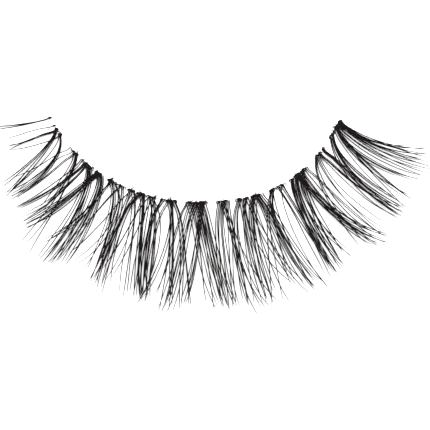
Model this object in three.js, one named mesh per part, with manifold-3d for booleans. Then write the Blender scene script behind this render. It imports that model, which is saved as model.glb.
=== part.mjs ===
// False eyelash strip: a thin clear band bent to the lid's curve, with clusters of curled lashes
// tied on it by small knots. Millimetres, +Z up. The strip lies on its back: the underside of the
// band and the first stretch of the lashes are flat on z = 0, +Y is the side of the eye, -Y the side
// the lashes point to, and their tips curl up.

import * as THREE from "three";
import { mergeVertices } from "three/addons/utils/BufferGeometryUtils.js";
import Module from "manifold-3d";

// Band
const BAND_LENGTH = 33; // along its middle line, from the first lock to the last
const BAND_SWEEP = 129; // degrees that it turns over that length
const BAND_TAIL = 0.4; // bare stretch past the lashes at each end
const OUTER_SWELL = 0.43; // the outer half of the lid is rounder: how far it swells past a circle
const BAND_WIDTH = 0.24;
const BAND_HEIGHT = 0.18;

// Knots: each one is a saddle over the band, open below
const KNOT_CLEARANCE = 0.04;
const KNOT_WALL = 0.11;
const KNOT_MARGIN = 0.15; // past the outermost lock of the cluster, along the band

// Lashes
const LASH_LENGTH = 14.3; // along the hair
const FLAT_ROOT = 3; // first stretch, flat on the table
const CURL_RADIUS = 15;
const LOCK_WIDTH = 0.46; // of the fullest lock
const LOCK_THICKNESS = 0.18;
const WIDTH_AT_KNOT = 0.75; // of a lock's full width
const FULL_FROM = 0.3; // share of its length at which a lock is at its widest
const POINT_SHAPE = 0.6; // below 1 a lock stays full and then tapers fast
const BOW_ONSET = 0.2; // the smaller, the nearer to the knot a lock bends

// Steps: the locks of one cluster run into each other a little higher or lower
const STEP_COUNT = 4;
const STEP_HEIGHT = 0.02;

// Levels: neighbouring clusters cross each other on different ones
const LEVEL_COUNT = 3;
const LEVEL_GAP = 0.05; // free height between two locks that cross
const LEVEL_RISE = 1.5; // distance from the band at which a lock is up on its level

// Facets
const LOCK_STATIONS = 8;
const ROOT_CROWDING = 1.25; // the stations lie closer together where the lock bends most
const LOCK_SIDES = 4;
const ARC_STEP = 3; // degrees for each facet of the band and the knots
const JOIN_TOLERANCE = 0.004; // edges shorter than this are closed up where solids join
const SAME_POINT = 0.00001; // corners nearer than this are one

// Colours
const LASH_BLACK = 0x181315;
const BAND_CLEAR = 0xe8e5df;

// One entry for each cluster, from the inner corner of the eye to the outer one, and one row for
// each lock in it.
// root, tip: where the lock starts and ends, as shares of the band, run on past its ends
// bow: how far it swings towards the outer corner on the way, as a share of the band
// reach: its length, as a share of LASH_LENGTH
// full: its width, as a share of LOCK_WIDTH
const CLUSTERS = [
  [
    { root: -0.007, tip: -0.03, bow: 0.0, reach: 0.36, full: 0.5 },
  ],
  [
    { root: 0.035, tip: 0.02, bow: 0.0, reach: 0.35, full: 0.5 },
    { root: 0.03, tip: 0.09, bow: 0.02, reach: 0.56, full: 0.4 },
    { root: 0.035, tip: 0.11, bow: 0.02, reach: 0.59, full: 0.5 },
    { root: 0.055, tip: 0.12, bow: 0.035, reach: 0.57, full: 0.7 },
  ],
  [
    { root: 0.12, tip: 0.125, bow: 0.005, reach: 0.53, full: 0.45 },
    { root: 0.12, tip: 0.175, bow: 0.015, reach: 0.45, full: 0.5 },
    { root: 0.13, tip: 0.21, bow: 0.025, reach: 0.9, full: 0.45 },
  ],
  [
    { root: 0.165, tip: 0.149, bow: 0.005, reach: 0.59, full: 0.85 },
    { root: 0.175, tip: 0.245, bow: 0.025, reach: 0.84, full: 0.85 },
    { root: 0.185, tip: 0.255, bow: 0.025, reach: 0.8, full: 0.55 },
  ],
  [
    { root: 0.21, tip: 0.18, bow: 0.0, reach: 0.66, full: 1.0 },
    { root: 0.21, tip: 0.25, bow: 0.025, reach: 0.83, full: 0.45 },
    { root: 0.215, tip: 0.265, bow: 0.02, reach: 0.77, full: 0.6 },
    { root: 0.22, tip: 0.28, bow: 0.02, reach: 0.77, full: 0.8 },
  ],
  [
    { root: 0.25, tip: 0.225, bow: 0.01, reach: 0.69, full: 0.4 },
    { root: 0.25, tip: 0.32, bow: 0.03, reach: 0.8, full: 0.45 },
    { root: 0.255, tip: 0.33, bow: 0.03, reach: 0.83, full: 0.5 },
    { root: 0.265, tip: 0.29, bow: 0.04, reach: 0.78, full: 0.45 },
  ],
  [
    { root: 0.283, tip: 0.335, bow: 0.015, reach: 0.82, full: 0.5 },
    { root: 0.29, tip: 0.35, bow: 0.013, reach: 0.88, full: 0.55 },
  ],
  [
    { root: 0.312, tip: 0.33, bow: 0.005, reach: 0.74, full: 0.4 },
    { root: 0.322, tip: 0.386, bow: 0.016, reach: 0.88, full: 0.65 },
  ],
  [
    { root: 0.337, tip: 0.345, bow: -0.008, reach: 0.88, full: 0.7 },
    { root: 0.345, tip: 0.345, bow: -0.014, reach: 0.82, full: 0.6 },
    { root: 0.345, tip: 0.41, bow: 0.012, reach: 0.88, full: 0.55 },
    { root: 0.352, tip: 0.415, bow: 0.008, reach: 0.9, full: 0.75 },
  ],
  [
    { root: 0.37, tip: 0.398, bow: 0.003, reach: 0.82, full: 0.4 },
    { root: 0.375, tip: 0.423, bow: 0.015, reach: 0.85, full: 0.75 },
    { root: 0.386, tip: 0.41, bow: -0.004, reach: 0.77, full: 0.45 },
  ],
  [
    { root: 0.41, tip: 0.419, bow: -0.018, reach: 0.84, full: 0.45 },
    { root: 0.425, tip: 0.422, bow: -0.016, reach: 0.86, full: 0.5 },
    { root: 0.425, tip: 0.452, bow: 0.015, reach: 1.0, full: 0.6 },
    { root: 0.43, tip: 0.416, bow: 0.014, reach: 0.85, full: 0.4 },
    { root: 0.432, tip: 0.462, bow: 0.004, reach: 0.87, full: 0.5 },
    { root: 0.44, tip: 0.482, bow: 0.018, reach: 0.92, full: 0.6 },
  ],
  [
    { root: 0.475, tip: 0.43, bow: -0.01, reach: 0.84, full: 0.4 },
    { root: 0.487, tip: 0.45, bow: -0.008, reach: 1.08, full: 0.7 },
    { root: 0.503, tip: 0.457, bow: -0.013, reach: 1.0, full: 0.7 },
    { root: 0.52, tip: 0.479, bow: -0.003, reach: 0.93, full: 0.45 },
    { root: 0.476, tip: 0.531, bow: 0.01, reach: 0.95, full: 0.55 },
    { root: 0.49, tip: 0.535, bow: 0.01, reach: 0.92, full: 0.65 },
    { root: 0.502, tip: 0.538, bow: 0.012, reach: 1.01, full: 0.6 },
    { root: 0.516, tip: 0.551, bow: 0.005, reach: 0.9, full: 0.6 },
    { root: 0.524, tip: 0.563, bow: 0.002, reach: 0.88, full: 0.55 },
  ],
  [
    { root: 0.567, tip: 0.556, bow: -0.013, reach: 0.9, full: 0.7 },
    { root: 0.588, tip: 0.573, bow: -0.004, reach: 0.88, full: 0.6 },
    { root: 0.574, tip: 0.609, bow: 0.001, reach: 0.94, full: 0.65 },
  ],
  [
    { root: 0.62, tip: 0.572, bow: -0.021, reach: 0.9, full: 0.6 },
    { root: 0.625, tip: 0.607, bow: -0.006, reach: 0.94, full: 0.55 },
    { root: 0.622, tip: 0.6, bow: -0.027, reach: 1.1, full: 0.5 },
    { root: 0.64, tip: 0.673, bow: -0.004, reach: 0.79, full: 0.55 },
  ],
  [
    { root: 0.657, tip: 0.615, bow: -0.02, reach: 0.88, full: 0.7 },
    { root: 0.67, tip: 0.617, bow: -0.02, reach: 0.88, full: 0.7 },
    { root: 0.67, tip: 0.682, bow: 0.003, reach: 0.96, full: 0.7 },
    { root: 0.68, tip: 0.692, bow: 0.003, reach: 0.95, full: 0.7 },
  ],
  [
    { root: 0.715, tip: 0.695, bow: -0.026, reach: 0.84, full: 0.55 },
    { root: 0.71, tip: 0.62, bow: -0.025, reach: 0.98, full: 0.4 },
    { root: 0.73, tip: 0.725, bow: 0.002, reach: 0.73, full: 0.45 },
    { root: 0.74, tip: 0.728, bow: 0.002, reach: 0.79, full: 0.55 },
  ],
  [
    { root: 0.775, tip: 0.734, bow: -0.018, reach: 0.83, full: 0.8 },
    { root: 0.79, tip: 0.73, bow: -0.022, reach: 0.86, full: 0.85 },
    { root: 0.8, tip: 0.765, bow: -0.028, reach: 0.76, full: 0.5 },
    { root: 0.795, tip: 0.822, bow: -0.008, reach: 0.86, full: 1.0 },
    { root: 0.812, tip: 0.805, bow: -0.01, reach: 0.82, full: 0.6 },
    { root: 0.81, tip: 0.738, bow: -0.02, reach: 0.77, full: 0.45 },
    { root: 0.825, tip: 0.827, bow: 0.0, reach: 0.81, full: 0.55 },
  ],
  [
    { root: 0.865, tip: 0.8, bow: -0.032, reach: 0.75, full: 0.4 },
    { root: 0.875, tip: 0.836, bow: -0.023, reach: 0.79, full: 0.6 },
    { root: 0.882, tip: 0.869, bow: -0.009, reach: 0.78, full: 0.6 },
    { root: 0.897, tip: 0.876, bow: -0.006, reach: 0.76, full: 0.65 },
  ],
  [
    { root: 0.94, tip: 0.87, bow: -0.032, reach: 0.79, full: 0.65 },
    { root: 0.95, tip: 0.89, bow: -0.03, reach: 0.7, full: 0.55 },
  ],
  [
    { root: 0.965, tip: 0.89, bow: -0.022, reach: 0.77, full: 0.5 },
    { root: 0.975, tip: 0.9, bow: -0.02, reach: 0.75, full: 0.45 },
    { root: 0.97, tip: 0.936, bow: -0.02, reach: 0.68, full: 0.4 },
    { root: 0.98, tip: 0.957, bow: -0.018, reach: 0.71, full: 0.55 },
    { root: 0.99, tip: 0.968, bow: -0.014, reach: 0.8, full: 0.6 },
    { root: 0.99, tip: 0.98, bow: -0.012, reach: 0.67, full: 0.7 },
    { root: 0.995, tip: 0.995, bow: -0.015, reach: 0.66, full: 0.7 },
  ],
];

// Worked out from the sizes above
const SWEEP = THREE.MathUtils.degToRad(BAND_SWEEP);
const BAND_RADIUS = BAND_LENGTH / SWEEP;
const LEVEL_HEIGHT = LOCK_THICKNESS + (STEP_COUNT - 1) * STEP_HEIGHT + LEVEL_GAP;

const wasm = await Module();
wasm.setup();

// Angle about the middle of the eye for a place along the band; zero at the band's middle.
function angleAt(share) {
  return (share - 0.5) * SWEEP;
}

// How far the outer half of the band lies outside the circle: nothing at its ends, most halfway.
function swellAt(angle) {
  const share = THREE.MathUtils.clamp(angle / (SWEEP / 2), 0, 1);
  return OUTER_SWELL * Math.sin(Math.PI * share) ** 2;
}

// Point a distance out from the middle of the band; the middle of its length is at x = 0, y = 0.
function fanPoint(angle, out, height) {
  const radius = BAND_RADIUS + swellAt(angle) + out;
  const x = radius * Math.sin(angle);
  const y = BAND_RADIUS - radius * Math.cos(angle);
  return new THREE.Vector3(x, y, height);
}

// The curl that all lashes share: how far a point at this distance along a lash is out from the
// band, how high it is, and how steeply the lash climbs there.
function curlAt(distance) {
  const climb = Math.max(0, distance - FLAT_ROOT) / CURL_RADIUS;
  const out = Math.min(distance, FLAT_ROOT) + CURL_RADIUS * Math.sin(climb);
  const up = CURL_RADIUS * (1 - Math.cos(climb));
  return { out, up, climb };
}

// A lock leaves its knot at an angle and soon bends: how much of its bow it has at a point.
function bowAt(t) {
  const most = 1 + 2 * BOW_ONSET - 2 * Math.sqrt(BOW_ONSET * (1 + BOW_ONSET));
  return (t * (1 - t)) / ((t + BOW_ONSET) * most);
}

// Middle line of one lock.
class LockCurve extends THREE.Curve {
  constructor(row, step, level) {
    super();
    this.row = row;
    this.step = step;
    this.level = level;
  }

  lift(distance) {
    const rise = THREE.MathUtils.smoothstep(distance, 0, LEVEL_RISE);
    return LOCK_THICKNESS / 2 + this.step * STEP_HEIGHT + this.level * LEVEL_HEIGHT * rise;
  }

  place(t) {
    const { root, tip, bow, reach } = this.row;
    const angle = angleAt(root + (tip - root) * t + bow * bowAt(t));
    const distance = reach * LASH_LENGTH * t;
    return { angle, distance };
  }

  getPoint(t) {
    const { angle, distance } = this.place(t);
    const { out, up, climb } = curlAt(distance);
    const lift = this.lift(distance);
    return fanPoint(angle, out - lift * Math.sin(climb), up + lift * Math.cos(climb));
  }

  // Direction square to the surface that the lashes lie in.
  normal(t) {
    const { angle, distance } = this.place(t);
    const { climb } = curlAt(distance);
    const inward = -Math.sin(climb);
    return new THREE.Vector3(inward * Math.sin(angle), -inward * Math.cos(angle), Math.cos(climb));
  }
}

// A lock is slightly narrow at the knot, full in the middle and drawn to a point.
function fullnessAt(t) {
  const swell = WIDTH_AT_KNOT + (1 - WIDTH_AT_KNOT) * THREE.MathUtils.smoothstep(t, 0, FULL_FROM);
  return swell * Math.pow(1 - t, POINT_SHAPE);
}

// Closed tapered skin along a lock's middle line, with one point at its tip.
function lockGeometry(row, step, level) {
  const curve = new LockCurve(row, step, level);
  const positions = [];
  const faces = [];
  for (let i = 0; i < LOCK_STATIONS; i += 1) {
    const t = Math.pow(i / LOCK_STATIONS, ROOT_CROWDING);
    const middle = curve.getPoint(t);
    const normal = curve.normal(t);
    const side = curve.getTangent(t).cross(normal).normalize();
    const halfWidth = (row.full * LOCK_WIDTH * fullnessAt(t)) / 2;
    const halfThickness = (LOCK_THICKNESS * fullnessAt(t)) / 2;
    for (let j = 0; j < LOCK_SIDES; j += 1) {
      const turn = (2 * Math.PI * j) / LOCK_SIDES;
      const corner = middle.clone();
      corner.addScaledVector(side, halfWidth * Math.cos(turn));
      corner.addScaledVector(normal, halfThickness * Math.sin(turn));
      positions.push(corner.x, corner.y, corner.z);
    }
  }
  const tip = curve.getPoint(1);
  const tipIndex = LOCK_STATIONS * LOCK_SIDES;
  positions.push(tip.x, tip.y, tip.z);
  for (let i = 0; i < LOCK_STATIONS; i += 1) {
    for (let j = 0; j < LOCK_SIDES; j += 1) {
      const a = i * LOCK_SIDES + j;
      const b = i * LOCK_SIDES + ((j + 1) % LOCK_SIDES);
      if (i === LOCK_STATIONS - 1) {
        faces.push(b, a, tipIndex);
      } else {
        faces.push(b, a, a + LOCK_SIDES, b, a + LOCK_SIDES, b + LOCK_SIDES);
      }
    }
  }
  for (let j = 1; j < LOCK_SIDES - 1; j += 1) {
    faces.push(0, j, j + 1);
  }
  const geometry = new THREE.BufferGeometry();
  geometry.setAttribute("position", new THREE.Float32BufferAttribute(positions, 3));
  geometry.setIndex(faces);
  return geometry;
}

// Stretch of a rectangular rail that follows the band, from one angle to another.
function railGeometry(start, end, width, bottom, top) {
  const steps = Math.ceil(THREE.MathUtils.radToDeg(end - start) / ARC_STEP);
  const front = [];
  const back = [];
  for (let i = 0; i <= steps; i += 1) {
    const angle = THREE.MathUtils.lerp(start, end, i / steps);
    front.push(fanPoint(angle, width / 2, 0));
    back.unshift(fanPoint(angle, -width / 2, 0));
  }
  const shape = new THREE.Shape([...front, ...back]);
  const geometry = new THREE.ExtrudeGeometry(shape, { depth: top - bottom, bevelEnabled: false });
  return geometry.translate(0, 0, bottom);
}

// Solid of a closed geometry, and the way back.
function toSolid(geometry) {
  const bare = geometry.clone();
  bare.deleteAttribute("normal");
  bare.deleteAttribute("uv");
  const merged = mergeVertices(bare, SAME_POINT);
  const vertProperties = new Float32Array(merged.attributes.position.array);
  const triVerts = new Uint32Array(merged.index.array);
  const mesh = new wasm.Mesh({ numProp: 3, vertProperties, triVerts, tolerance: JOIN_TOLERANCE });
  return new wasm.Manifold(mesh);
}

function toGeometry(solid) {
  const { vertProperties, triVerts } = solid.getMesh();
  const geometry = new THREE.BufferGeometry();
  geometry.setAttribute("position", new THREE.BufferAttribute(vertProperties, 3));
  geometry.setIndex(new THREE.BufferAttribute(triVerts, 1));
  geometry.computeVertexNormals();
  return geometry;
}

// One cluster: its locks fused to a knot that straddles the band with a small clearance.
function clusterGeometry(rows, level) {
  const roots = rows.map((row) => angleAt(row.root));
  const margin = KNOT_MARGIN / BAND_RADIUS;
  const start = Math.min(...roots) - margin;
  const end = Math.max(...roots) + margin;
  const channelWidth = BAND_WIDTH + 2 * KNOT_CLEARANCE;
  const channelTop = BAND_HEIGHT + KNOT_CLEARANCE;
  const knotWidth = channelWidth + 2 * KNOT_WALL;
  const knotTop = channelTop + KNOT_WALL;
  let solid = toSolid(railGeometry(start, end, knotWidth, 0, knotTop));
  rows.forEach((row, index) => {
    solid = solid.add(toSolid(lockGeometry(row, index % STEP_COUNT, level)));
  });
  const channel = railGeometry(start - margin, end + margin, channelWidth, -channelTop, channelTop);
  return toGeometry(solid.subtract(toSolid(channel)));
}

function bandMesh() {
  const tail = BAND_TAIL / BAND_RADIUS;
  const geometry = railGeometry(angleAt(0) - tail, angleAt(1) + tail, BAND_WIDTH, 0, BAND_HEIGHT);
  const material = new THREE.MeshStandardMaterial({ color: BAND_CLEAR, roughness: 0.25, metalness: 0 });
  const mesh = new THREE.Mesh(geometry, material);
  mesh.name = "band";
  return mesh;
}

function clusterMesh(rows, index) {
  const geometry = clusterGeometry(rows, index % LEVEL_COUNT);
  const material = new THREE.MeshStandardMaterial({ color: LASH_BLACK, roughness: 0.4, metalness: 0 });
  const mesh = new THREE.Mesh(geometry, material);
  mesh.name = `lash_cluster_${String(index + 1).padStart(2, "0")}`;
  return mesh;
}

const strip = new THREE.Group();
strip.add(bandMesh());
CLUSTERS.forEach((rows, index) => strip.add(clusterMesh(rows, index)));

// The origin is under the middle of the whole strip.
const middle = new THREE.Box3().setFromObject(strip).getCenter(new THREE.Vector3());
strip.position.set(-middle.x, -middle.y, 0);

export default strip;
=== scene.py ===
# %% [markdown]
# # A false eyelash strip
# The strip is a thin clear thread, bent to the curve of an eyelid, with twenty small bundles of
# black polyester hair knotted on it. Each bundle fans out in locks that cross their neighbours, and
# every hair tapers to a fine tip and curls up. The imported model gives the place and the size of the
# thread and of each bundle, and this script grows the real hairs there.

# %% Load the frame
import math
from collections import namedtuple

import bpy
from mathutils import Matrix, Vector


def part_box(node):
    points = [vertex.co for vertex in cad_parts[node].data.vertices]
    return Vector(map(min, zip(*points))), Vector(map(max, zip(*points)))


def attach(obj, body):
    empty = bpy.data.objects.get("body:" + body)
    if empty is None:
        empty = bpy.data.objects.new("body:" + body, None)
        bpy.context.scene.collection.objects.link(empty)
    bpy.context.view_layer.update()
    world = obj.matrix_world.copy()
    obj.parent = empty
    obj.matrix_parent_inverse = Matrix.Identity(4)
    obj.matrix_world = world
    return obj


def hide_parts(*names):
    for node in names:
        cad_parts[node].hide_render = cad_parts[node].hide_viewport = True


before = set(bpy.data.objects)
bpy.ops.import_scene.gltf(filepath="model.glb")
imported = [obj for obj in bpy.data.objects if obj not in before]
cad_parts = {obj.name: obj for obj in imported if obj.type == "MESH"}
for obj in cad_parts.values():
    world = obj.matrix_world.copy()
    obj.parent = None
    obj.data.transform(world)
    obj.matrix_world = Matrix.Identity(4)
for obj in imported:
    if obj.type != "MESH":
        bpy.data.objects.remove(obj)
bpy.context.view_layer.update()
print("nodes in the frame:", len(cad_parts))

# %% [markdown]
# ## Sizes
# The driving sizes are the ones that the solids were made from, in millimetres, turned to metres.
# Only the place of the whole strip is read from the frame: the thread is symmetric, so the middle of
# its box in X, and its front in Y, say where the middle of the thread lies.

# %% Driving sizes
MM = 0.001
BAND_LENGTH = 33 * MM
BAND_SWEEP = math.radians(129)
BAND_TAIL = 0.4 * MM
OUTER_SWELL = 0.43 * MM
BAND_WIDTH = 0.24 * MM
BAND_HEIGHT = 0.18 * MM
LASH_LENGTH = 14.3 * MM
FLAT_ROOT = 3 * MM
CURL_RADIUS = 15 * MM
LOCK_THICKNESS = 0.18 * MM
BOW_ONSET = 0.2
STEP_COUNT = 4
STEP_HEIGHT = 0.02 * MM
LEVEL_COUNT = 3
LEVEL_GAP = 0.05 * MM
LEVEL_RISE = 1.5 * MM
LEVEL_HEIGHT = LOCK_THICKNESS + (STEP_COUNT - 1) * STEP_HEIGHT + LEVEL_GAP
BAND_RADIUS = BAND_LENGTH / BAND_SWEEP

band_low, band_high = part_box("band")
band_middle = Vector(((band_low[0] + band_high[0]) / 2, band_low[1] + BAND_WIDTH / 2, 0))
print("middle of the band:", [round(value / MM, 2) for value in band_middle], "mm")

# %% [markdown]
# ## Where each lock goes
# A lock is one sweep of hairs. Its row says where it starts and ends, as shares of the band's length,
# how far it bows towards the outer corner on the way, how long it is as a share of a full lash, how
# full it is and how many hairs it holds. A last number stands only in the rows of tight bundles: how
# far their hairs part, against the others. The rows are chosen against the photograph, one list for
# each knot, from the inner corner of the eye to the outer one. All but the last two columns stand in
# the source of the solids too, so the two must change together.

# %% Table of locks
Lock = namedtuple("Lock", "root tip bow reach full hairs fan", defaults=(1.0,))

CLUSTERS = [
    [Lock(-0.007, -0.030, 0.000, 0.36, 0.50, 4, 0.25)],
    [Lock(0.035, 0.020, 0.000, 0.35, 0.50, 3, 0.6), Lock(0.030, 0.090, 0.020, 0.56, 0.40, 3, 0.5),
     Lock(0.035, 0.110, 0.020, 0.59, 0.50, 4, 0.6), Lock(0.055, 0.120, 0.035, 0.57, 0.70, 5, 0.5)],
    [Lock(0.120, 0.125, 0.005, 0.53, 0.45, 2), Lock(0.120, 0.175, 0.015, 0.45, 0.50, 2),
     Lock(0.130, 0.210, 0.025, 0.90, 0.45, 2)],
    [Lock(0.165, 0.149, 0.005, 0.59, 0.85, 6, 0.8), Lock(0.175, 0.245, 0.025, 0.84, 0.85, 5),
     Lock(0.185, 0.255, 0.025, 0.80, 0.55, 2)],
    [Lock(0.210, 0.180, 0.000, 0.66, 1.00, 8, 0.6), Lock(0.210, 0.250, 0.025, 0.83, 0.45, 2),
     Lock(0.215, 0.265, 0.020, 0.77, 0.60, 3), Lock(0.220, 0.280, 0.020, 0.77, 0.80, 4)],
    [Lock(0.250, 0.225, 0.010, 0.69, 0.40, 2), Lock(0.250, 0.320, 0.030, 0.80, 0.45, 2),
     Lock(0.255, 0.330, 0.030, 0.83, 0.50, 2), Lock(0.265, 0.290, 0.040, 0.78, 0.45, 2)],
    [Lock(0.283, 0.335, 0.015, 0.82, 0.50, 2), Lock(0.290, 0.350, 0.013, 0.88, 0.55, 2)],
    [Lock(0.312, 0.330, 0.005, 0.74, 0.40, 2), Lock(0.322, 0.386, 0.016, 0.88, 0.65, 3)],
    [Lock(0.337, 0.345, -0.008, 0.88, 0.70, 3), Lock(0.345, 0.345, -0.014, 0.82, 0.60, 2),
     Lock(0.345, 0.410, 0.012, 0.88, 0.55, 2), Lock(0.352, 0.415, 0.008, 0.90, 0.75, 4, 0.5)],
    [Lock(0.370, 0.398, 0.003, 0.82, 0.40, 2), Lock(0.375, 0.423, 0.015, 0.85, 0.75, 4),
     Lock(0.386, 0.410, -0.004, 0.77, 0.45, 1)],
    [Lock(0.410, 0.419, -0.018, 0.84, 0.45, 2), Lock(0.425, 0.422, -0.016, 0.86, 0.50, 2),
     Lock(0.425, 0.452, 0.015, 1.00, 0.60, 3), Lock(0.430, 0.416, 0.014, 0.85, 0.40, 2),
     Lock(0.432, 0.462, 0.004, 0.87, 0.50, 2), Lock(0.440, 0.482, 0.018, 0.92, 0.60, 3)],
    [Lock(0.475, 0.430, -0.010, 0.84, 0.40, 2), Lock(0.487, 0.450, -0.008, 1.08, 0.70, 3),
     Lock(0.503, 0.457, -0.013, 1.00, 0.70, 3), Lock(0.520, 0.479, -0.003, 0.93, 0.45, 3),
     Lock(0.476, 0.531, 0.010, 0.95, 0.55, 2), Lock(0.490, 0.535, 0.010, 0.92, 0.65, 3),
     Lock(0.502, 0.538, 0.012, 1.01, 0.60, 3), Lock(0.516, 0.551, 0.005, 0.90, 0.60, 3),
     Lock(0.524, 0.563, 0.002, 0.88, 0.55, 2)],
    [Lock(0.567, 0.556, -0.013, 0.90, 0.70, 3), Lock(0.588, 0.573, -0.004, 0.88, 0.60, 3),
     Lock(0.574, 0.609, 0.001, 0.94, 0.65, 3)],
    [Lock(0.620, 0.572, -0.021, 0.90, 0.60, 3), Lock(0.625, 0.607, -0.006, 0.94, 0.55, 3),
     Lock(0.622, 0.600, -0.027, 1.10, 0.50, 2), Lock(0.640, 0.673, -0.004, 0.79, 0.55, 2)],
    [Lock(0.657, 0.615, -0.020, 0.88, 0.70, 3), Lock(0.670, 0.617, -0.020, 0.88, 0.70, 2),
     Lock(0.670, 0.682, 0.003, 0.96, 0.70, 4, 0.8), Lock(0.680, 0.692, 0.003, 0.95, 0.70, 3)],
    [Lock(0.715, 0.695, -0.026, 0.84, 0.55, 3), Lock(0.710, 0.620, -0.025, 0.98, 0.40, 2),
     Lock(0.730, 0.725, 0.002, 0.73, 0.45, 2), Lock(0.740, 0.728, 0.002, 0.79, 0.55, 2)],
    [Lock(0.775, 0.734, -0.018, 0.83, 0.80, 5, 0.6), Lock(0.790, 0.730, -0.022, 0.86, 0.85, 5, 0.6),
     Lock(0.800, 0.765, -0.028, 0.76, 0.50, 2), Lock(0.795, 0.822, -0.008, 0.86, 1.00, 8, 0.5),
     Lock(0.812, 0.805, -0.010, 0.82, 0.60, 3), Lock(0.810, 0.738, -0.020, 0.77, 0.45, 2),
     Lock(0.825, 0.827, 0.000, 0.81, 0.55, 2)],
    [Lock(0.865, 0.800, -0.032, 0.75, 0.40, 2), Lock(0.875, 0.836, -0.023, 0.79, 0.60, 3),
     Lock(0.882, 0.869, -0.009, 0.78, 0.60, 4, 0.7), Lock(0.897, 0.876, -0.006, 0.76, 0.65, 4, 0.7)],
    [Lock(0.940, 0.870, -0.032, 0.79, 0.65, 3), Lock(0.950, 0.890, -0.030, 0.70, 0.55, 2)],
    [Lock(0.965, 0.890, -0.022, 0.77, 0.50, 2), Lock(0.975, 0.900, -0.020, 0.75, 0.45, 3),
     Lock(0.970, 0.936, -0.020, 0.68, 0.40, 3), Lock(0.980, 0.957, -0.018, 0.71, 0.55, 3),
     Lock(0.990, 0.968, -0.014, 0.80, 0.60, 3), Lock(0.990, 0.980, -0.012, 0.67, 0.70, 4),
     Lock(0.995, 0.995, -0.015, 0.66, 0.70, 5, 0.8)],
]
print("locks:", sum(len(rows) for rows in CLUSTERS),
      "and their hairs:", sum(row.hairs for rows in CLUSTERS for row in rows))

# %% [markdown]
# Between the locks run single hairs that left their bundle. They are too fine for a solid of their
# own, so this table stands only here. Each row names the cluster whose knot holds the hair.

# %% Table of stray hairs
Stray = namedtuple("Stray", "cluster root tip bow reach hairs")

STRAYS = [
    Stray(2, 0.020, 0.000, 0.000, 0.32, 1), Stray(2, 0.050, 0.115, 0.020, 0.50, 1),
    Stray(2, 0.050, 0.030, 0.010, 0.35, 1),
    Stray(3, 0.100, 0.090, 0.000, 0.46, 1), Stray(3, 0.115, 0.105, 0.000, 0.50, 1),
    Stray(3, 0.130, 0.225, 0.025, 0.90, 1), Stray(3, 0.125, 0.180, 0.020, 0.46, 1),
    Stray(4, 0.150, 0.140, 0.005, 0.56, 2), Stray(4, 0.180, 0.240, 0.030, 0.76, 1),
    Stray(5, 0.215, 0.225, 0.030, 0.55, 1),
    Stray(6, 0.255, 0.345, 0.025, 0.88, 1), Stray(6, 0.250, 0.225, 0.008, 0.66, 1),
    Stray(7, 0.285, 0.255, -0.005, 0.50, 1), Stray(7, 0.285, 0.260, -0.010, 0.58, 1),
    Stray(8, 0.315, 0.270, -0.005, 0.60, 1), Stray(8, 0.320, 0.335, 0.000, 0.80, 1),
    Stray(9, 0.350, 0.362, 0.005, 0.80, 1), Stray(9, 0.345, 0.325, -0.010, 0.60, 1),
    Stray(10, 0.370, 0.335, -0.010, 0.60, 1), Stray(10, 0.380, 0.355, -0.005, 0.70, 1),
    Stray(10, 0.380, 0.405, 0.033, 0.90, 1),
    Stray(11, 0.405, 0.415, -0.012, 0.85, 2), Stray(11, 0.440, 0.476, 0.020, 0.92, 1),
    Stray(12, 0.512, 0.484, 0.000, 0.88, 2), Stray(12, 0.500, 0.545, 0.008, 0.80, 1),
    Stray(13, 0.578, 0.565, -0.013, 0.88, 2), Stray(13, 0.570, 0.552, -0.012, 0.80, 1),
    Stray(14, 0.640, 0.665, -0.022, 0.87, 1), Stray(14, 0.635, 0.595, -0.015, 0.95, 2),
    Stray(15, 0.655, 0.637, -0.012, 1.09, 1), Stray(15, 0.665, 0.655, 0.000, 0.80, 2),
    Stray(15, 0.660, 0.612, -0.018, 1.00, 1), Stray(15, 0.660, 0.672, -0.012, 0.98, 1),
    Stray(16, 0.705, 0.655, -0.010, 0.68, 1), Stray(16, 0.745, 0.735, 0.000, 0.60, 1),
    Stray(16, 0.740, 0.700, -0.020, 1.00, 1), Stray(16, 0.715, 0.680, -0.010, 0.90, 1),
    Stray(17, 0.815, 0.755, -0.020, 0.72, 2), Stray(17, 0.820, 0.810, -0.008, 0.80, 1),
    Stray(17, 0.800, 0.750, -0.020, 0.86, 1),
    Stray(18, 0.870, 0.815, -0.030, 0.73, 1),
    Stray(19, 0.950, 0.895, -0.025, 0.58, 2), Stray(19, 0.945, 0.885, -0.030, 0.72, 1),
    Stray(20, 0.975, 0.930, -0.025, 0.55, 1), Stray(20, 0.985, 0.990, -0.010, 0.50, 2),
    Stray(20, 0.975, 0.905, -0.020, 0.72, 1),
]
print("rows of stray hairs:", len(STRAYS))

# %% [markdown]
# ## The surface the lashes lie in
# Seen from above the lashes fan out from the middle of the eye, and seen from the side they all share
# one curl: flat on the table for the first few millimetres, then round an arc. A few short
# functions hold that shape. It could also be modelled as a bent sheet with the hairs pressed on it,
# but a formula gives the side and the upward direction at every point, which the hairs need.

# %% Fan and curl
def angle_at(share):
    """Angle about the middle of the eye for a place along the band."""
    return (share - 0.5) * BAND_SWEEP


def swell_at(angle):
    """How far the outer half of the band lies outside a circle."""
    share = min(1.0, max(0.0, angle / (BAND_SWEEP / 2)))
    return OUTER_SWELL * math.sin(math.pi * share) ** 2


def curl_at(distance):
    """How far out and how high a point is at this distance along a lash, and how it climbs."""
    climb = max(0.0, distance - FLAT_ROOT) / CURL_RADIUS
    out = min(distance, FLAT_ROOT) + CURL_RADIUS * math.sin(climb)
    return out, CURL_RADIUS * (1 - math.cos(climb)), climb


def fan_point(angle, out, up):
    """Point in the frame, out from the band and up from the table."""
    radius = BAND_RADIUS + swell_at(angle) + out
    flat = Vector((radius * math.sin(angle), BAND_RADIUS - radius * math.cos(angle), up))
    return band_middle + flat


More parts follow.
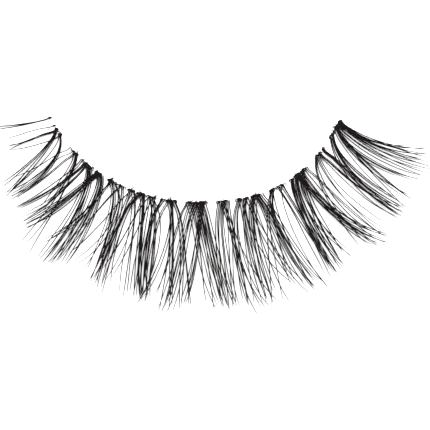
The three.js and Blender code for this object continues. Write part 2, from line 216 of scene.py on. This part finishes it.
def bow_at(along):
    """How much of its bow a lock has: it leaves the knot at an angle and soon bends."""
    most = 1 + 2 * BOW_ONSET - 2 * math.sqrt(BOW_ONSET * (1 + BOW_ONSET))
    return along * (1 - along) / ((along + BOW_ONSET) * most)


def smoothstep(value, low, high):
    """How far a value has come from low to high, eased at both ends."""
    share = min(1.0, max(0.0, (value - low) / (high - low)))
    return share * share * (3 - 2 * share)


print("tip of a full lash:", [round(value / MM, 1) for value in curl_at(LASH_LENGTH)[:2]], "mm")

# %% [markdown]
# ## Guides
# A guide is the middle line of a lock. It starts on top of the thread, where the hairs are hitched,
# comes down in front of it and follows the lock's row. All the guides of a cluster are one loose mesh
# of edges, and each point carries what the hairs there need: the directions, how wide the bundle is,
# how far its tips fan out and how many hairs it holds. Single points without edges mark the hitches.

# %% Guide lines of one cluster
GUIDE_POINTS = 20
ROOT_CROWDING = 1.25
HAIR_RADIUS = 0.0465 * MM
HUMP_REACH = 0.26 * MM
START_BEHIND = 0.1 * MM
SPREAD_AT_ROOT = 0.42 * MM
SPREAD_AT_TIP = 1.05 * MM
SPREAD_LENGTH = 0.75
STRAY_FULLNESS = 0.35
HAIRS_IN_A_HITCH = 4


def guide_points(row, base, rise):
    """Points of a guide with their place along the lash, their side and their upward direction."""
    length = row.reach * LASH_LENGTH
    shares = [-START_BEHIND / length]
    shares += [(i / GUIDE_POINTS) ** ROOT_CROWDING for i in range(GUIDE_POINTS + 1)]
    points = []
    for share in shares:
        along = max(0.0, share)
        angle = angle_at(row.root + (row.tip - row.root) * along + row.bow * bow_at(along))
        distance = share * length
        out, up, climb = curl_at(distance)
        hump = (BAND_HEIGHT + HAIR_RADIUS - base) * math.exp(-((distance / HUMP_REACH) ** 2))
        lift = base + hump + rise * smoothstep(distance, 0, LEVEL_RISE)
        place = fan_point(angle, out - lift * math.sin(climb), up + lift * math.cos(climb))
        side = Vector((math.cos(angle), math.sin(angle), 0))
        outward = Vector((math.sin(angle), -math.cos(angle), 0))
        upward = Vector((0, 0, 1)) * math.cos(climb) - outward * math.sin(climb)
        points.append((place, along, side, upward))
    return points


def guide_mesh(name, number):
    """Loose edges for the guides of one cluster, points for its hitches, and what each carries."""
    level = (number - 1) % LEVEL_COUNT
    rows = [(row, row.full * row.fan, index % STEP_COUNT)
            for index, row in enumerate(CLUSTERS[number - 1])]
    rows += [(row, STRAY_FULLNESS, 0) for row in STRAYS if row.cluster == number]
    places, edges = [], []
    numbers = {key: [] for key in ("along", "spread", "turn")}
    vectors = {key: [] for key in ("side", "upward")}
    counts = {key: [] for key in ("hairs", "lock", "hitches")}
    for lock, (row, width, step) in enumerate(rows):
        base = LOCK_THICKNESS / 2 + step * STEP_HEIGHT
        points = guide_points(row, base, level * LEVEL_HEIGHT)
        first = len(places)
        edges += [(first + i, first + i + 1) for i in range(len(points) - 1)]
        angle = angle_at(row.root)
        across = Vector((math.cos(angle), math.sin(angle), 0))
        hitch = (fan_point(angle, 0, 0), 0, across, Vector((0, 0, 1)))
        for place, along, side, upward in points + [hitch]:
            places.append(place)
            numbers["along"].append(along)
            opened = smoothstep(along, 0, SPREAD_LENGTH)
            spread = SPREAD_AT_ROOT + (SPREAD_AT_TIP - SPREAD_AT_ROOT) * opened
            numbers["spread"].append(width * spread)
            numbers["turn"].append(angle)
            vectors["side"].append(side)
            vectors["upward"].append(upward)
            counts["hairs"].append(row.hairs)
            counts["lock"].append(lock)
            counts["hitches"].append(0)
        counts["hitches"][-1] = max(1, round(row.hairs / HAIRS_IN_A_HITCH))
    mesh = bpy.data.meshes.new(name)
    mesh.from_pydata(places, edges, [])
    for key, values in numbers.items():
        mesh.attributes.new(key, "FLOAT", "POINT").data.foreach_set("value", values)
    for key, values in vectors.items():
        flat = [part for vector in values for part in vector]
        mesh.attributes.new(key, "FLOAT_VECTOR", "POINT").data.foreach_set("vector", flat)
    for key, values in counts.items():
        mesh.attributes.new(key, "INT", "POINT").data.foreach_set("value", values)
    return mesh


print("points of a guide:", GUIDE_POINTS + 2)

# %% [markdown]
# ## One helper for every node
# Shader trees and geometry trees are built the same way: make a node, set its properties, and give
# each input either a value or a link from an earlier node. One small function does all of it.

# %% Node helper
def add_node(tree, kind, settings=None, inputs=None):
    """Add a node; an input is given by name or number, as a value or as another node's output."""
    made = tree.nodes.new(kind)
    for key, value in (settings or {}).items():
        setattr(made, key, value)
    for key, value in (inputs or {}).items():
        socket = made.inputs[key]
        if isinstance(value, bpy.types.NodeSocket):
            tree.links.new(value, socket)
        else:
            socket.default_value = value
    return made


def linear(hex_colour):
    """Linear colour with alpha for an sRGB hex value."""
    channels = [int(hex_colour[i:i + 2], 16) / 255 for i in (1, 3, 5)]
    curve = [c / 12.92 if c <= 0.04045 else ((c + 0.055) / 1.055) ** 2.4 for c in channels]
    return (*curve, 1.0)


print("a mid grey in linear light:", round(linear("#808080")[0], 3))

# %% [markdown]
# ## Black polyester lash fibre
# The hairs are drawn black polyester, heat set in their curl and dipped so that their tips taper. The
# colour is all through the fibre, a black that leans to warm plum, and the drawn skin has a soft
# gloss. Each hair carries its own shade, because a bundle mixes fibres that took the dye a little
# differently, and the fine tips let some light through and look browner. Die lines run along the
# fibre 0.02 mm apart, too fine for the picture, so they are drawn as soft 0.2 mm patches of gloss.

# %% Lash fibre material
FIBRE_PATCH = 0.2 * MM
BROWN_TIP_POWER = 4.0


def lash_fibre_material():
    material = bpy.data.materials.new("heat_set_black_polyester_fibre")
    material.use_nodes = True
    tree = material.node_tree
    shader = tree.nodes["Principled BSDF"]
    shader.inputs["IOR"].default_value = 1.57
    shader.inputs["Specular IOR Level"].default_value = 0.05
    shade = add_node(tree, "ShaderNodeAttribute", {"attribute_name": "shade"})
    along = add_node(tree, "ShaderNodeAttribute", {"attribute_name": "along"})
    dye = add_node(tree, "ShaderNodeMix", {"data_type": "RGBA"}, {
        "Factor": shade.outputs["Fac"], 6: linear("#050303"), 7: linear("#140c0e")})
    tip = add_node(tree, "ShaderNodeMath", {"operation": "POWER"}, {
        0: along.outputs["Fac"], 1: BROWN_TIP_POWER})
    colour = add_node(tree, "ShaderNodeMix", {"data_type": "RGBA"}, {
        "Factor": tip.outputs[0], 6: dye.outputs[2], 7: linear("#1c1315")})
    tree.links.new(colour.outputs[2], shader.inputs["Base Color"])
    place = add_node(tree, "ShaderNodeTexCoord")
    patches = add_node(tree, "ShaderNodeTexNoise", {}, {
        "Vector": place.outputs["Object"], "Scale": 1 / FIBRE_PATCH, "Detail": 2.0})
    gloss = add_node(tree, "ShaderNodeMapRange", {}, {
        "Value": patches.outputs["Fac"], "To Min": 0.32, "To Max": 0.55})
    tree.links.new(gloss.outputs["Result"], shader.inputs["Roughness"])
    ridges = add_node(tree, "ShaderNodeBump", {}, {
        "Height": patches.outputs["Fac"], "Strength": 0.15, "Distance": 0.01 * MM})
    tree.links.new(ridges.outputs["Normal"], shader.inputs["Normal"])
    return material


lash_fibre = lash_fibre_material()
print("made", lash_fibre.name)

# %% [markdown]
# ## A tree that grows hairs along the guides
# Every guide is copied once for each of its hairs. The copies are ranked side by side, and each one
# strays from its rank by its own random numbers, so that most lie next to each other and a few cross.
# Then the hair is cut to its own length, given a radius that tapers to a point and swept with a small
# round section. A particle or hair system could do this too, but its hairs can't follow the rows of
# a table, and the sweep gives closed meshes that can be exported.

# %% Names of a tree's inputs
def new_tree(name, inputs, output):
    """Geometry tree with named inputs; a float, an int or a kind of socket is given for each."""
    tree = bpy.data.node_groups.new(name, "GeometryNodeTree")
    for label, value in inputs.items():
        if isinstance(value, str):
            tree.interface.new_socket(label, in_out="INPUT", socket_type=value)
        else:
            kind = "NodeSocketInt" if isinstance(value, int) else "NodeSocketFloat"
            tree.interface.new_socket(label, in_out="INPUT", socket_type=kind).default_value = value
    tree.interface.new_socket(output, in_out="OUTPUT", socket_type="NodeSocketGeometry")
    return tree, add_node(tree, "NodeGroupInput").outputs


def calculate(tree, operation, a, b=0.0):
    """Output of a math node for one or two values."""
    return add_node(tree, "ShaderNodeMath", {"operation": operation}, {0: a, 1: b}).outputs[0]


def carried(tree, name, kind="FLOAT"):
    """What the points or curves carry under a name."""
    reader = add_node(tree, "GeometryNodeInputNamedAttribute", {"data_type": kind}, {"Name": name})
    return reader.outputs[0]


print("helpers made: one starts a tree, one calculates in it, one reads what points carry")


# %% Random numbers kept on each copy
def keep_random(tree, geometry, name, identity, seed, domain):
    """Store three random numbers from -1 to 1 under a name, and give the geometry back."""
    draw = add_node(tree, "FunctionNodeRandomValue", {"data_type": "FLOAT_VECTOR"}, {
        "Min": (-1.0, -1.0, -1.0), "Max": (1.0, 1.0, 1.0), "ID": identity, "Seed": seed})
    stored = add_node(tree, "GeometryNodeStoreNamedAttribute", {
        "data_type": "FLOAT_VECTOR", "domain": domain}, {
        "Geometry": geometry, "Name": name, "Value": draw.outputs["Value"]})
    return stored.outputs["Geometry"]


def parts_of(tree, name):
    """The three numbers of a vector that is carried under a name."""
    vector = carried(tree, name, "FLOAT_VECTOR")
    return add_node(tree, "ShaderNodeSeparateXYZ", {}, {0: vector}).outputs


print("helpers made: one keeps three random numbers on each copy, one takes them apart")


# %% Hair tree
DRAW_SEED_STEP = 101.0


def hair_tree():
    tree, given = new_tree("hairs_along_guides", {
        "Guides": "NodeSocketGeometry", "Hair radius": HAIR_RADIUS, "Radius lost to the tip": 0.02,
        "Radius lost at the point": 0.75, "Sharpness of the point": 13.0, "Uneven radius": 0.12,
        "Order at root": 0.85, "Order at tip": 0.85, "Own bow": 0.09 * MM, "Wander": 0.8 * MM,
        "Rarity of wandering": 3.0, "Wave": 0.03 * MM, "Angle of the wave": 9.0,
        "Shift of the wave": 3.1, "Height at tip": 0.3 * MM, "Shortest hair": 0.92, "Sides": 6,
        "Seed": 1}, "Hairs")

    def calc(operation, a, b=0.0):
        return calculate(tree, operation, a, b)

    lines = add_node(tree, "GeometryNodeMeshToCurve", {}, {"Mesh": given["Guides"]})
    copies = add_node(tree, "GeometryNodeDuplicateElements", {"domain": "SPLINE"}, {
        "Geometry": lines.outputs["Curve"], "Amount": carried(tree, "hairs", "INT")})
    numbered = add_node(tree, "GeometryNodeStoreNamedAttribute", {
        "data_type": "INT", "domain": "CURVE"}, {
        "Geometry": copies.outputs["Geometry"], "Name": "hair",
        "Value": copies.outputs["Duplicate Index"]})
    index = add_node(tree, "GeometryNodeInputIndex").outputs[0]
    grown = numbered.outputs["Geometry"]
    for number, name in enumerate(("own", "kind", "form")):
        seed = calc("ADD", given["Seed"], DRAW_SEED_STEP * number)
        grown = keep_random(tree, grown, name, index, seed, "CURVE")
    own, kind, form = parts_of(tree, "own"), parts_of(tree, "kind"), parts_of(tree, "form")
    rank = calc("ADD", carried(tree, "hair", "INT"), 0.5)
    rank = calc("DIVIDE", rank, carried(tree, "hairs", "INT"))
    rank = calc("SUBTRACT", calc("MULTIPLY", rank, 2.0), 1.0)
    at_root = calc("ADD", calc("MULTIPLY", rank, given["Order at root"]),
                   calc("MULTIPLY", own["X"], calc("SUBTRACT", 1.0, given["Order at root"])))
    at_tip = calc("ADD", calc("MULTIPLY", rank, given["Order at tip"]),
                  calc("MULTIPLY", own["Y"], calc("SUBTRACT", 1.0, given["Order at tip"])))

    along = carried(tree, "along")
    remaining = calc("SUBTRACT", 1.0, along)
    mixed = calc("ADD", calc("MULTIPLY", at_root, remaining), calc("MULTIPLY", at_tip, along))
    fanned = calc("MULTIPLY", carried(tree, "spread"), mixed)
    middle = calc("MULTIPLY", calc("MULTIPLY", along, remaining), 4.0)
    bowed = calc("MULTIPLY", calc("MULTIPLY", middle, given["Own bow"]), kind["X"])
    phase = calc("ADD", calc("MULTIPLY", along, given["Angle of the wave"]),
                 calc("MULTIPLY", form["X"], given["Shift of the wave"]))
    waved = calc("MULTIPLY", calc("SINE", phase), calc("MULTIPLY", along, given["Wave"]))
    rarely = calc("POWER", form["Y"], given["Rarity of wandering"])
    straying = calc("MULTIPLY", rarely, given["Wander"])
    strayed = calc("MULTIPLY", straying, calc("MULTIPLY", along, along))
    sideways = calc("ADD", calc("ADD", fanned, strayed), calc("ADD", bowed, waved))
    raised = calc("MULTIPLY", calc("MULTIPLY", along, given["Height at tip"]), own["Z"])
    across = add_node(tree, "ShaderNodeVectorMath", {"operation": "SCALE"}, {
        0: carried(tree, "side", "FLOAT_VECTOR"), "Scale": sideways})
    upwards = add_node(tree, "ShaderNodeVectorMath", {"operation": "SCALE"}, {
        0: carried(tree, "upward", "FLOAT_VECTOR"), "Scale": raised})
    offset = add_node(tree, "ShaderNodeVectorMath", {"operation": "ADD"}, {
        0: across.outputs[0], 1: upwards.outputs[0]})
    moved = add_node(tree, "GeometryNodeSetPosition", {}, {
        "Geometry": grown, "Offset": offset.outputs[0]})

    place = add_node(tree, "ShaderNodeSeparateXYZ", {}, {
        0: add_node(tree, "GeometryNodeInputPosition").outputs[0]}).outputs
    on_table = calc("MAXIMUM", place["Z"], given["Hair radius"])
    landed_at = add_node(tree, "ShaderNodeCombineXYZ", {}, {
        "X": place["X"], "Y": place["Y"], "Z": on_table})
    landed = add_node(tree, "GeometryNodeSetPosition", {}, {
        "Geometry": moved.outputs["Geometry"], "Position": landed_at.outputs[0]})

    most_missing = calc("SUBTRACT", 1.0, given["Shortest hair"])
    missing = calc("MULTIPLY", calc("POWER", kind["Y"], 2.0), most_missing)
    cut = add_node(tree, "GeometryNodeTrimCurve", {"mode": "FACTOR"}, {
        "Curve": landed.outputs["Geometry"], "End": calc("SUBTRACT", 1.0, missing)})
    run = add_node(tree, "GeometryNodeSplineParameter").outputs["Factor"]
    slimmer = calc("SUBTRACT", 1.0, calc("MULTIPLY", run, given["Radius lost to the tip"]))
    near_point = calc("POWER", run, given["Sharpness of the point"])
    pointed = calc("SUBTRACT", 1.0, calc("MULTIPLY", near_point, given["Radius lost at the point"]))
    taper = calc("MULTIPLY", slimmer, pointed)
    build = calc("ADD", 1.0, calc("MULTIPLY", kind["Z"], given["Uneven radius"]))
    radius = calc("MULTIPLY", calc("MULTIPLY", taper, build), given["Hair radius"])
    shade = calc("ADD", 0.5, calc("MULTIPLY", kind["Z"], 0.5))
    shaded = add_node(tree, "GeometryNodeStoreNamedAttribute", {
        "data_type": "FLOAT", "domain": "POINT"}, {
        "Geometry": cut.outputs["Curve"], "Name": "shade", "Value": shade})
    section = add_node(tree, "GeometryNodeCurvePrimitiveCircle", {"mode": "RADIUS"}, {
        "Resolution": given["Sides"], "Radius": 1.0})
    swept = add_node(tree, "GeometryNodeCurveToMesh", {}, {
        "Curve": shaded.outputs["Geometry"], "Profile Curve": section.outputs["Curve"],
        "Scale": radius, "Fill Caps": True})
    smooth = add_node(tree, "GeometryNodeSetShadeSmooth", {}, {"Geometry": swept.outputs["Mesh"]})
    add_node(tree, "NodeGroupOutput", {}, {0: smooth.outputs["Geometry"]})
    return tree


hairs_along_guides = hair_tree()
print("hair tree:", len(hairs_along_guides.nodes), "nodes")

# %% [markdown]
# ## Hitches on the thread
# A bundle holds on to the thread because its hairs are folded over it: seen from above, each hitch is
# a small arch behind the thread with both legs in front. Some hairs end there in a short stub that
# sticks out at the back. Both are drawn once, with few faces, and set out at random along the knot.

# %% Hitch tree
def hitch_tree():
    tree, given = new_tree("hitches_on_thread", {
        "Guides": "NodeSocketGeometry", "Hair radius": HAIR_RADIUS, "Thread height": BAND_HEIGHT,
        "Arch width": 0.28 * MM, "Arch depth": 0.36 * MM, "Front of the legs": 0.12 * MM,
        "Lateness of the drop": 4.0, "Uneven width": 0.45, "Arch size": 0.85,
        "Uneven arch size": 0.25, "Arch turn": 0.35, "Stub length": 0.5 * MM, "Stub size": 0.8,
        "Uneven stub size": 0.35, "Stub turn": 0.8, "Radius lost by a stub": 0.7,
        "Share with a stub": 0.3, "Points": 9, "Points of a stub": 4, "Sides": 5,
        "Seed": 1}, "Hitches")

    def calc(operation, a, b=0.0):
        return calculate(tree, operation, a, b)

    section = add_node(tree, "GeometryNodeCurvePrimitiveCircle", {"mode": "RADIUS"}, {
        "Resolution": given["Sides"], "Radius": 1.0})
    top = calc("ADD", given["Thread height"], given["Hair radius"])

    arc = add_node(tree, "GeometryNodeCurveArc", {"mode": "RADIUS"}, {
        "Resolution": given["Points"], "Radius": 1.0, "Sweep Angle": math.pi})
    place = add_node(tree, "ShaderNodeSeparateXYZ", {}, {
        0: add_node(tree, "GeometryNodeInputPosition").outputs[0]}).outputs
    behind = calc("MULTIPLY", place["Y"], given["Arch depth"])
    fallen = calc("POWER", place["Y"], given["Lateness of the drop"])
    bent = add_node(tree, "ShaderNodeCombineXYZ", {}, {
        "X": calc("MULTIPLY", place["X"], calc("MULTIPLY", given["Arch width"], 0.5)),
        "Y": calc("SUBTRACT", behind, given["Front of the legs"]),
        "Z": calc("SUBTRACT", top, calc("MULTIPLY", fallen, given["Thread height"]))})
    arch = add_node(tree, "GeometryNodeSetPosition", {}, {
        "Geometry": arc.outputs["Curve"], "Position": bent.outputs[0]})
    arch_mesh = add_node(tree, "GeometryNodeCurveToMesh", {}, {
        "Curve": arch.outputs["Geometry"], "Profile Curve": section.outputs["Curve"],
        "Scale": given["Hair radius"], "Fill Caps": True})

    front = add_node(tree, "ShaderNodeCombineXYZ", {}, {"Z": top})
    back = add_node(tree, "ShaderNodeCombineXYZ", {}, {"Y": given["Stub length"], "Z": top})
    line = add_node(tree, "GeometryNodeCurvePrimitiveLine", {"mode": "POINTS"}, {
        "Start": front.outputs[0], "End": back.outputs[0]})
    stations = add_node(tree, "GeometryNodeResampleCurve", {"mode": "COUNT"}, {
        "Curve": line.outputs["Curve"], "Count": given["Points of a stub"]})
    run = add_node(tree, "GeometryNodeSplineParameter").outputs["Factor"]
    lost = calc("MULTIPLY", calc("POWER", run, 2.0), given["Radius lost by a stub"])
    point = calc("MULTIPLY", given["Hair radius"], calc("SUBTRACT", 1.0, lost))
    stub_mesh = add_node(tree, "GeometryNodeCurveToMesh", {}, {
        "Curve": stations.outputs["Curve"], "Profile Curve": section.outputs["Curve"],
        "Scale": point, "Fill Caps": True})

    copies = add_node(tree, "GeometryNodeDuplicateElements", {"domain": "POINT"}, {
        "Geometry": given["Guides"], "Amount": carried(tree, "hitches", "INT")})
    index = add_node(tree, "GeometryNodeInputIndex").outputs[0]
    marked = keep_random(tree, copies.outputs["Geometry"], "own", index, given["Seed"], "POINT")
    own = parts_of(tree, "own")
    along = add_node(tree, "ShaderNodeVectorMath", {"operation": "SCALE"}, {
        0: carried(tree, "side", "FLOAT_VECTOR"),
        "Scale": calc("MULTIPLY", own["X"], carried(tree, "spread"))})
    spread = add_node(tree, "GeometryNodeSetPosition", {}, {
        "Geometry": marked, "Offset": along.outputs[0]})

    def set_out(mesh, most_turn, selection, size):
        turn = calc("ADD", carried(tree, "turn"), calc("MULTIPLY", own["Y"], most_turn))
        turned = add_node(tree, "ShaderNodeCombineXYZ", {}, {"Z": turn})
        scale = add_node(tree, "ShaderNodeCombineXYZ", {}, {
            "X": calc("ADD", 1.0, calc("MULTIPLY", own["Z"], given["Uneven width"])),
            "Y": size, "Z": 1.0})
        placed = add_node(tree, "GeometryNodeInstanceOnPoints", {}, {
            "Points": spread.outputs["Geometry"], "Instance": mesh, "Rotation": turned.outputs[0],
            "Scale": scale.outputs[0], "Selection": selection})
        return placed.outputs["Instances"]

    arch_size = calc("ADD", given["Arch size"], calc("MULTIPLY", own["Y"], given["Uneven arch size"]))
    stub_size = calc("ADD", given["Stub size"], calc("MULTIPLY", own["Z"], given["Uneven stub size"]))
    chance = add_node(tree, "FunctionNodeRandomValue", {"data_type": "BOOLEAN"}, {
        "Probability": given["Share with a stub"], "ID": index, "Seed": given["Seed"]})
    arches = set_out(arch_mesh.outputs["Mesh"], given["Arch turn"], True, arch_size)
    stubs = set_out(stub_mesh.outputs["Mesh"], given["Stub turn"], chance.outputs[3], stub_size)
    both = add_node(tree, "GeometryNodeJoinGeometry")
    tree.links.new(arches, both.inputs[0])
    tree.links.new(stubs, both.inputs[0])
    add_node(tree, "NodeGroupOutput", {}, {0: both.outputs["Geometry"]})
    return tree


hitches_on_thread = hitch_tree()
print("hitch tree:", len(hitches_on_thread.nodes), "nodes")

# %% [markdown]
# ## Growing one bundle
# A third tree runs the other two, makes their instances real and gives them the fibre. A modifier
# runs it on the guides. Its inputs are set by the identifier of their socket before the object is
# first evaluated, and the result is then turned to a plain mesh, because the frame only takes
# finished pieces.

# %% Bundle tree
def bundle_tree():
    tree, given = new_tree("lash_bundle", {
        "Guides": "NodeSocketGeometry", "Seed": 1, "Fibre": "NodeSocketMaterial"}, "Bundle")
    both = add_node(tree, "GeometryNodeJoinGeometry")
    for group in (hairs_along_guides, hitches_on_thread):
        made = add_node(tree, "GeometryNodeGroup", {"node_tree": group}, {
            "Guides": given["Guides"], "Seed": given["Seed"]})
        tree.links.new(made.outputs[0], both.inputs[0])
    real = add_node(tree, "GeometryNodeRealizeInstances", {}, {"Geometry": both.outputs["Geometry"]})
    finished = add_node(tree, "GeometryNodeSetMaterial", {}, {
        "Geometry": real.outputs["Geometry"], "Material": given["Fibre"]})
    add_node(tree, "NodeGroupOutput", {}, {0: finished.outputs["Geometry"]})
    return tree


lash_bundle = bundle_tree()
print("bundle tree:", len(lash_bundle.nodes), "nodes")


# %% Run a tree on a mesh
def run_tree(mesh, tree, values):
    """Plain mesh that a geometry tree makes out of another one."""
    carrier = bpy.data.objects.new("carrier", mesh)
    bpy.context.collection.objects.link(carrier)
    modifier = carrier.modifiers.new("grow", "NODES")
    modifier.node_group = tree
    sockets = {item.name: item.identifier for item in tree.interface.items_tree}
    for name, value in values.items():
        modifier[sockets[name]] = value
    graph = bpy.context.evaluated_depsgraph_get()
    result = bpy.data.meshes.new_from_object(carrier.evaluated_get(graph))
    bpy.data.objects.remove(carrier)
    return result


def show_piece(mesh, name, node):
    """Put a finished mesh in the scene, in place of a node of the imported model."""
    mesh.name = name
    piece = bpy.data.objects.new(name, mesh)
    bpy.context.collection.objects.link(piece)
    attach(piece, "root")
    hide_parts(node)
    print(name, "has", len(mesh.polygons), "faces")


BUNDLE_SEED_STEP = 7
for number in range(1, len(CLUSTERS) + 1):
    guides = guide_mesh(f"guides_{number:02d}", number)
    bundle = run_tree(guides, lash_bundle, {"Seed": number * BUNDLE_SEED_STEP, "Fibre": lash_fibre})
    show_piece(bundle, f"lash_hairs_{number:02d}", f"lash_cluster_{number:02d}")

# %% [markdown]
# ## Clear nylon thread
# The band is a clear nylon thread, rolled a little flat. On white it all but disappears. A thread
# this thin bends little light, so it is drawn as a see-through skin with a soft gloss, which stays
# clean on the white table, where a refracting one would need many bounces of light to come out clear.

# %% Thread material
HAZE_PATCH = 1.5 * MM


def clear_nylon_material():
    material = bpy.data.materials.new("clear_drawn_nylon_thread")
    material.use_nodes = True
    tree = material.node_tree
    shader = tree.nodes["Principled BSDF"]
    shader.inputs["IOR"].default_value = 1.53
    shader.inputs["Alpha"].default_value = 0.3
    place = add_node(tree, "ShaderNodeTexCoord")
    haze = add_node(tree, "ShaderNodeTexNoise", {}, {
        "Vector": place.outputs["Object"], "Scale": 1 / HAZE_PATCH, "Detail": 1.0})
    gloss = add_node(tree, "ShaderNodeMapRange", {}, {
        "Value": haze.outputs["Fac"], "To Min": 0.12, "To Max": 0.3})
    tree.links.new(gloss.outputs["Result"], shader.inputs["Roughness"])
    milk = add_node(tree, "ShaderNodeMix", {"data_type": "RGBA"}, {
        "Factor": haze.outputs["Fac"], 6: linear("#f4f2ee"), 7: linear("#ffffff")})
    tree.links.new(milk.outputs[2], shader.inputs["Base Color"])
    return material


clear_nylon = clear_nylon_material()
print("made", clear_nylon.name)


# %% Thread tree
def thread_tree():
    tree, given = new_tree("drawn_thread", {
        "Path": "NodeSocketGeometry", "Width": BAND_WIDTH, "Height": BAND_HEIGHT, "Sides": 12,
        "Nylon": "NodeSocketMaterial"}, "Thread")
    line = add_node(tree, "GeometryNodeMeshToCurve", {}, {"Mesh": given["Path"]})
    level = add_node(tree, "GeometryNodeSetCurveNormal", {"mode": "Z_UP"}, {
        "Curve": line.outputs["Curve"]})
    circle = add_node(tree, "GeometryNodeCurvePrimitiveCircle", {"mode": "RADIUS"}, {
        "Resolution": given["Sides"], "Radius": 0.5})
    size = add_node(tree, "ShaderNodeCombineXYZ", {}, {
        "X": given["Width"], "Y": given["Height"], "Z": 1.0})
    section = add_node(tree, "GeometryNodeTransform", {}, {
        "Geometry": circle.outputs["Curve"], "Scale": size.outputs[0]})
    swept = add_node(tree, "GeometryNodeCurveToMesh", {}, {
        "Curve": level.outputs["Curve"], "Profile Curve": section.outputs["Geometry"],
        "Fill Caps": True})
    smooth = add_node(tree, "GeometryNodeSetShadeSmooth", {}, {"Geometry": swept.outputs["Mesh"]})
    real = add_node(tree, "GeometryNodeRealizeInstances", {}, {"Geometry": smooth.outputs["Geometry"]})
    finished = add_node(tree, "GeometryNodeSetMaterial", {}, {
        "Geometry": real.outputs["Geometry"], "Material": given["Nylon"]})
    add_node(tree, "NodeGroupOutput", {}, {0: finished.outputs["Geometry"]})
    return tree


drawn_thread = thread_tree()
print("thread tree:", len(drawn_thread.nodes), "nodes")

# %% Thread
THREAD_POINTS = 60
tail_turn = BAND_TAIL / BAND_RADIUS
first_angle, last_angle = angle_at(0) - tail_turn, angle_at(1) + tail_turn
thread_step = (last_angle - first_angle) / THREAD_POINTS
thread_places = [fan_point(first_angle + thread_step * i, 0, BAND_HEIGHT / 2)
                 for i in range(THREAD_POINTS + 1)]
thread_path = bpy.data.meshes.new("thread_path")
thread_path.from_pydata(thread_places, [(i, i + 1) for i in range(THREAD_POINTS)], [])
thread_mesh = run_tree(thread_path, drawn_thread, {"Nylon": clear_nylon})
show_piece(thread_mesh, "band_thread", "band")

# %% [markdown]
# ## Floor, light and camera
# The photograph was taken from above and in front on pure white, in light from all sides, so there is
# a white floor, an even white surround and one large soft light overhead. The long lens looks down at
# 65 degrees, and is aimed so that the middle of the thread falls on the pixel where the photograph
# has it.

# %% Floor
FLOOR_HALF = 1.5
GRAIN_PATCH = 4 * MM


def plain_floor():
    """Large matt white board that the strip lies on."""
    material = bpy.data.materials.new("matt_white_board")
    material.use_nodes = True
    tree = material.node_tree
    shader = tree.nodes["Principled BSDF"]
    place = add_node(tree, "ShaderNodeTexCoord")
    grain = add_node(tree, "ShaderNodeTexNoise", {}, {
        "Vector": place.outputs["Object"], "Scale": 1 / GRAIN_PATCH})
    colour = add_node(tree, "ShaderNodeMix", {"data_type": "RGBA"}, {
        "Factor": grain.outputs["Fac"], 6: linear("#fbfbfb"), 7: linear("#ffffff")})
    tree.links.new(colour.outputs[2], shader.inputs["Base Color"])
    shader.inputs["Roughness"].default_value = 0.9
    shader.inputs["Specular IOR Level"].default_value = 0.1
    turns = ((-1, -1), (1, -1), (1, 1), (-1, 1))
    corners = [(FLOOR_HALF * x, FLOOR_HALF * y, 0) for x, y in turns]
    mesh = bpy.data.meshes.new("floor")
    mesh.from_pydata(corners, [], [(0, 1, 2, 3)])
    mesh.materials.append(material)
    floor = bpy.data.objects.new("floor", mesh)
    bpy.context.collection.objects.link(floor)


plain_floor()
print("floor:", 2 * FLOOR_HALF, "m square")

# %% Light
LIGHT_HEIGHT = 1.6
LIGHT_SIZE = 1.5
LIGHT_POWER = 40.0

world = bpy.data.worlds.new("white_surround")
world.use_nodes = True
world.node_tree.nodes["Background"].inputs["Color"].default_value = (1, 1, 1, 1)
world.node_tree.nodes["Background"].inputs["Strength"].default_value = 1.0
bpy.context.scene.world = world

overhead = bpy.data.lights.new("overhead", "AREA")
overhead.size = LIGHT_SIZE
overhead.energy = LIGHT_POWER
light = bpy.data.objects.new("overhead", overhead)
light.location = (0, 0, LIGHT_HEIGHT)
bpy.context.collection.objects.link(light)
bpy.context.scene.view_settings.view_transform = "Standard"
print("light overhead:", LIGHT_POWER, "W")

# %% Camera
ELEVATION = math.radians(65)
PICTURE_SIDE = 430
PIXEL = 0.0907 * MM
BAND_MIDDLE_PIXEL = (196, 204)
LENS = 1000
SENSOR = 36

right = (PICTURE_SIDE / 2 - BAND_MIDDLE_PIXEL[0]) * PIXEL
down = (PICTURE_SIDE / 2 - BAND_MIDDLE_PIXEL[1]) * PIXEL
aim = band_middle + Vector((right, -down / math.sin(ELEVATION), 0))
distance = PICTURE_SIDE * PIXEL * LENS / SENSOR
camera_data = bpy.data.cameras.new("camera")
camera_data.lens = LENS
camera_data.sensor_width = SENSOR
camera_data.clip_start = 0.01
camera = bpy.data.objects.new("camera", camera_data)
camera.location = aim + Vector((0, -math.cos(ELEVATION), math.sin(ELEVATION))) * distance
camera.rotation_euler = (math.pi / 2 - ELEVATION, 0, 0)
bpy.context.collection.objects.link(camera)
bpy.context.scene.camera = camera
print("camera at", [round(value, 3) for value in camera.location])
